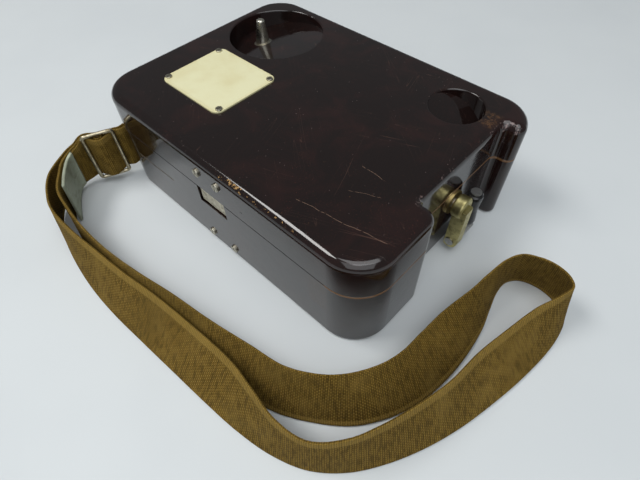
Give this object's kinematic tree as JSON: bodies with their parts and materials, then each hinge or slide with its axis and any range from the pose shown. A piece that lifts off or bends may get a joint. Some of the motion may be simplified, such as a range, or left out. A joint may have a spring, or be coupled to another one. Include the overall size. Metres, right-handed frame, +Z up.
{
  "type": "field telephone",
  "caption": "Moulded field telephone case with a hinged lid, handset rests, a folding crank, a magneto and ringer inside, and a webbing strap.",
  "frame": {"origin": "on the surface that the case stands on, under the middle of the case", "axes": "+X along the long side towards the crank, +Y away from the latch towards the hinge, +Z up"},
  "size_m": [0.3754, 0.2972, 0.0967],
  "materials": {
    "bakelite": "gloss",
    "deck": "satin",
    "handset": "gloss",
    "ivory": "satin",
    "nickel": "worn",
    "steel": "satin",
    "magnet": "satin",
    "brass": "tarnished",
    "grip_black": "satin",
    "winding": "matt",
    "carton": "matt",
    "webbing": "woven",
    "tip_metal": "matt"
  },
  "bodies": {
    "case": {"lower_case": "bakelite", "deck_panel": "deck", "deck_screws": "nickel", "hook_contacts": "bakelite", "latch_bracket": "steel", "latch_pin": "steel", "latch_screws": "nickel", "hinge_leaf_case": "steel", "hinge_pin": "steel", "hinge_screws_case": "nickel", "shaft_bush": "brass", "magnets": "magnet", "pole_shoes": "steel", "magneto_frame": "brass", "gongs": "nickel", "gong_posts": "steel", "ringer_coils": "winding", "ringer_yoke": "steel", "battery_cell": "carton", "induction_coil": "winding", "condenser": "steel", "terminal_studs": "nickel", "handset_body": "handset", "ear_cap": "handset", "mouth_cap": "handset", "strap_bracket": "steel", "bracket_screws": "nickel", "strap_left_outer": "webbing", "strap_front_run": "webbing", "strap_front_bend": "webbing", "strap_turn": "webbing", "strap_back_side": "webbing", "strap_back_run": "webbing", "strap_left_inner": "webbing", "strap_tail": "webbing", "strap_tip": "tip_metal", "strap_slider": "nickel"},
    "lid": {"lid": "bakelite", "writing_plate": "ivory", "plate_screws": "nickel", "plunger_bush": "nickel", "lid_catch": "steel", "catch_screws": "nickel", "hinge_leaf_lid": "steel", "hinge_screws_lid": "nickel"},
    "plunger": {"hook_plunger": "nickel"},
    "latch": {"latch_lever": "nickel"},
    "crank": {"crank_shaft": "steel", "drive_gear": "brass", "crank_arm": "brass", "grip_pivot_pin": "steel"},
    "armature": {"armature": "steel", "armature_winding": "winding", "armature_pinion": "brass"},
    "grip_arm": {"grip_spindle": "steel"},
    "grip": {"crank_grip": "grip_black"},
    "clapper": {"clapper": "steel"},
    "talk_key": {"talk_key": "handset"},
    "nut_1": {"terminal_nut_1": "nickel"},
    "nut_2": {"terminal_nut_2": "nickel"}
  },
  "joints": [
    {"name": "lid_hinge", "type": "hinge", "parent": "case", "child": "lid", "pos_m": [0, 0.1015, 0.057], "axis": [-1, 0, 0], "range_deg": [0, 110]},
    {"name": "hook_plunger", "type": "slide", "parent": "lid", "child": "plunger", "axis": [0, 0, 1], "range_m": [-0.006, 0], "stiffness_N_per_m": 150, "springref_m": 0.004},
    {"name": "latch_press", "type": "hinge", "parent": "case", "child": "latch", "pos_m": [-0.0035, -0.087, 0.019], "axis": [-1, 0, 0], "range_deg": [0, 4], "stiffness_Nm_per_rad": 0.6, "springref_deg": -3.44},
    {"name": "crank_spin", "type": "hinge", "parent": "case", "child": "crank", "pos_m": [0.12, 0.02, 0.046], "axis": [1, 0, 0], "continuous": true},
    {"name": "armature_spin", "type": "hinge", "parent": "case", "child": "armature", "pos_m": [0.066, 0.02, 0.026], "axis": [1, 0, 0], "continuous": true},
    {"name": "grip_fold", "type": "hinge", "parent": "crank", "child": "grip_arm", "pos_m": [0.1287, 0.0365, 0.012], "axis": [0, 1, 0], "range_deg": [0, 90]},
    {"name": "grip_spin", "type": "hinge", "parent": "grip_arm", "child": "grip", "pos_m": [0.1287, 0.0365, 0.03], "axis": [0, 0, 1], "continuous": true},
    {"name": "clapper_swing", "type": "hinge", "parent": "case", "child": "clapper", "pos_m": [-0.076, 0.039, 0.02], "axis": [0, 0, 1], "range_deg": [-8, 8]},
    {"name": "talk_press", "type": "slide", "parent": "case", "child": "talk_key", "axis": [0, 0, 1], "range_m": [-0.002, 0], "stiffness_N_per_m": 300, "springref_m": 0.002},
    {"name": "nut_1_turn", "type": "hinge", "parent": "case", "child": "nut_1", "pos_m": [-0.012, 0.078, 0.059], "axis": [0, 0, 1], "continuous": true},
    {"name": "nut_2_turn", "type": "hinge", "parent": "case", "child": "nut_2", "pos_m": [0.012, 0.078, 0.059], "axis": [0, 0, 1], "continuous": true}
  ],
  "couplings": [
    {"joint": "armature_spin", "follows": "crank_spin", "ratio": -3}
  ]
}
